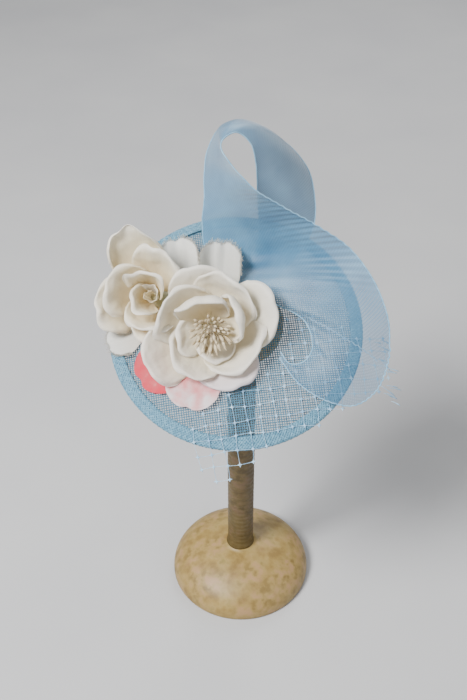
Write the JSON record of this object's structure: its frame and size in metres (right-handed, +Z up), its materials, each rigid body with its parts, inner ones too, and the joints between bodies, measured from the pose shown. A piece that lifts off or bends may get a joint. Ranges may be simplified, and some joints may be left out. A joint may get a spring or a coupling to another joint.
{
  "type": "floral headpiece on a display stand",
  "caption": "Round sinamay headpiece with a looped crin band, dotted veil and silk flowers, tilted on a plain domed post stand.",
  "frame": {"origin": "centre of the underside of the stand's base", "axes": "+Z up along the post, -Y towards the viewer of the picture, +X to the viewer's right"},
  "size_m": [0.2664, 0.2339, 0.5576],
  "materials": {
    "stand": "mottled printed covering, satin",
    "sinamay": "open woven straw, matte",
    "binding": "bias-cut woven straw, matte",
    "crin": "translucent mesh band, soft sheen",
    "veil": "fine dotted net, matte",
    "ivory": "stiffened silk, soft",
    "rose": "stiffened silk, soft",
    "pink": "dyed silk, soft",
    "frayed": "raw-edged silk, matte",
    "stamen": "waxed thread, matte",
    "calyx": "wrapped cloth, matte",
    "comb": "clear plastic, smooth"
  },
  "bodies": {
    "root": {"stand_base": "stand", "stand_post": "stand", "stand_knob": "stand", "saucer": "sinamay", "edge_binding": "binding", "crin_band": "crin", "veil": "veil", "hair_comb": "comb", "pink_petal_left": "pink", "pink_petal_front": "pink", "frayed_petal_left": "frayed", "frayed_petal_back": "frayed", "frayed_petal_top": "frayed", "bloom_calyx": "calyx", "bloom_stamens": "stamen", "rose_calyx": "calyx", "bloom_inner_back": "ivory", "bloom_inner_right": "ivory", "bloom_inner_left": "ivory", "bloom_inner_front": "ivory", "bloom_middle_back": "ivory", "bloom_middle_left": "ivory", "bloom_middle_low": "ivory", "bloom_middle_right": "ivory", "bloom_outer_back": "ivory", "bloom_outer_right": "ivory", "bloom_outer_low": "ivory", "bloom_outer_left": "ivory", "rose_inner_back": "rose", "rose_inner_front": "rose", "rose_middle_back": "rose", "rose_middle_left": "rose", "rose_middle_front": "rose", "rose_outer_back": "rose", "rose_outer_left": "rose", "rose_outer_front": "rose"}
  },
  "joints": []
}
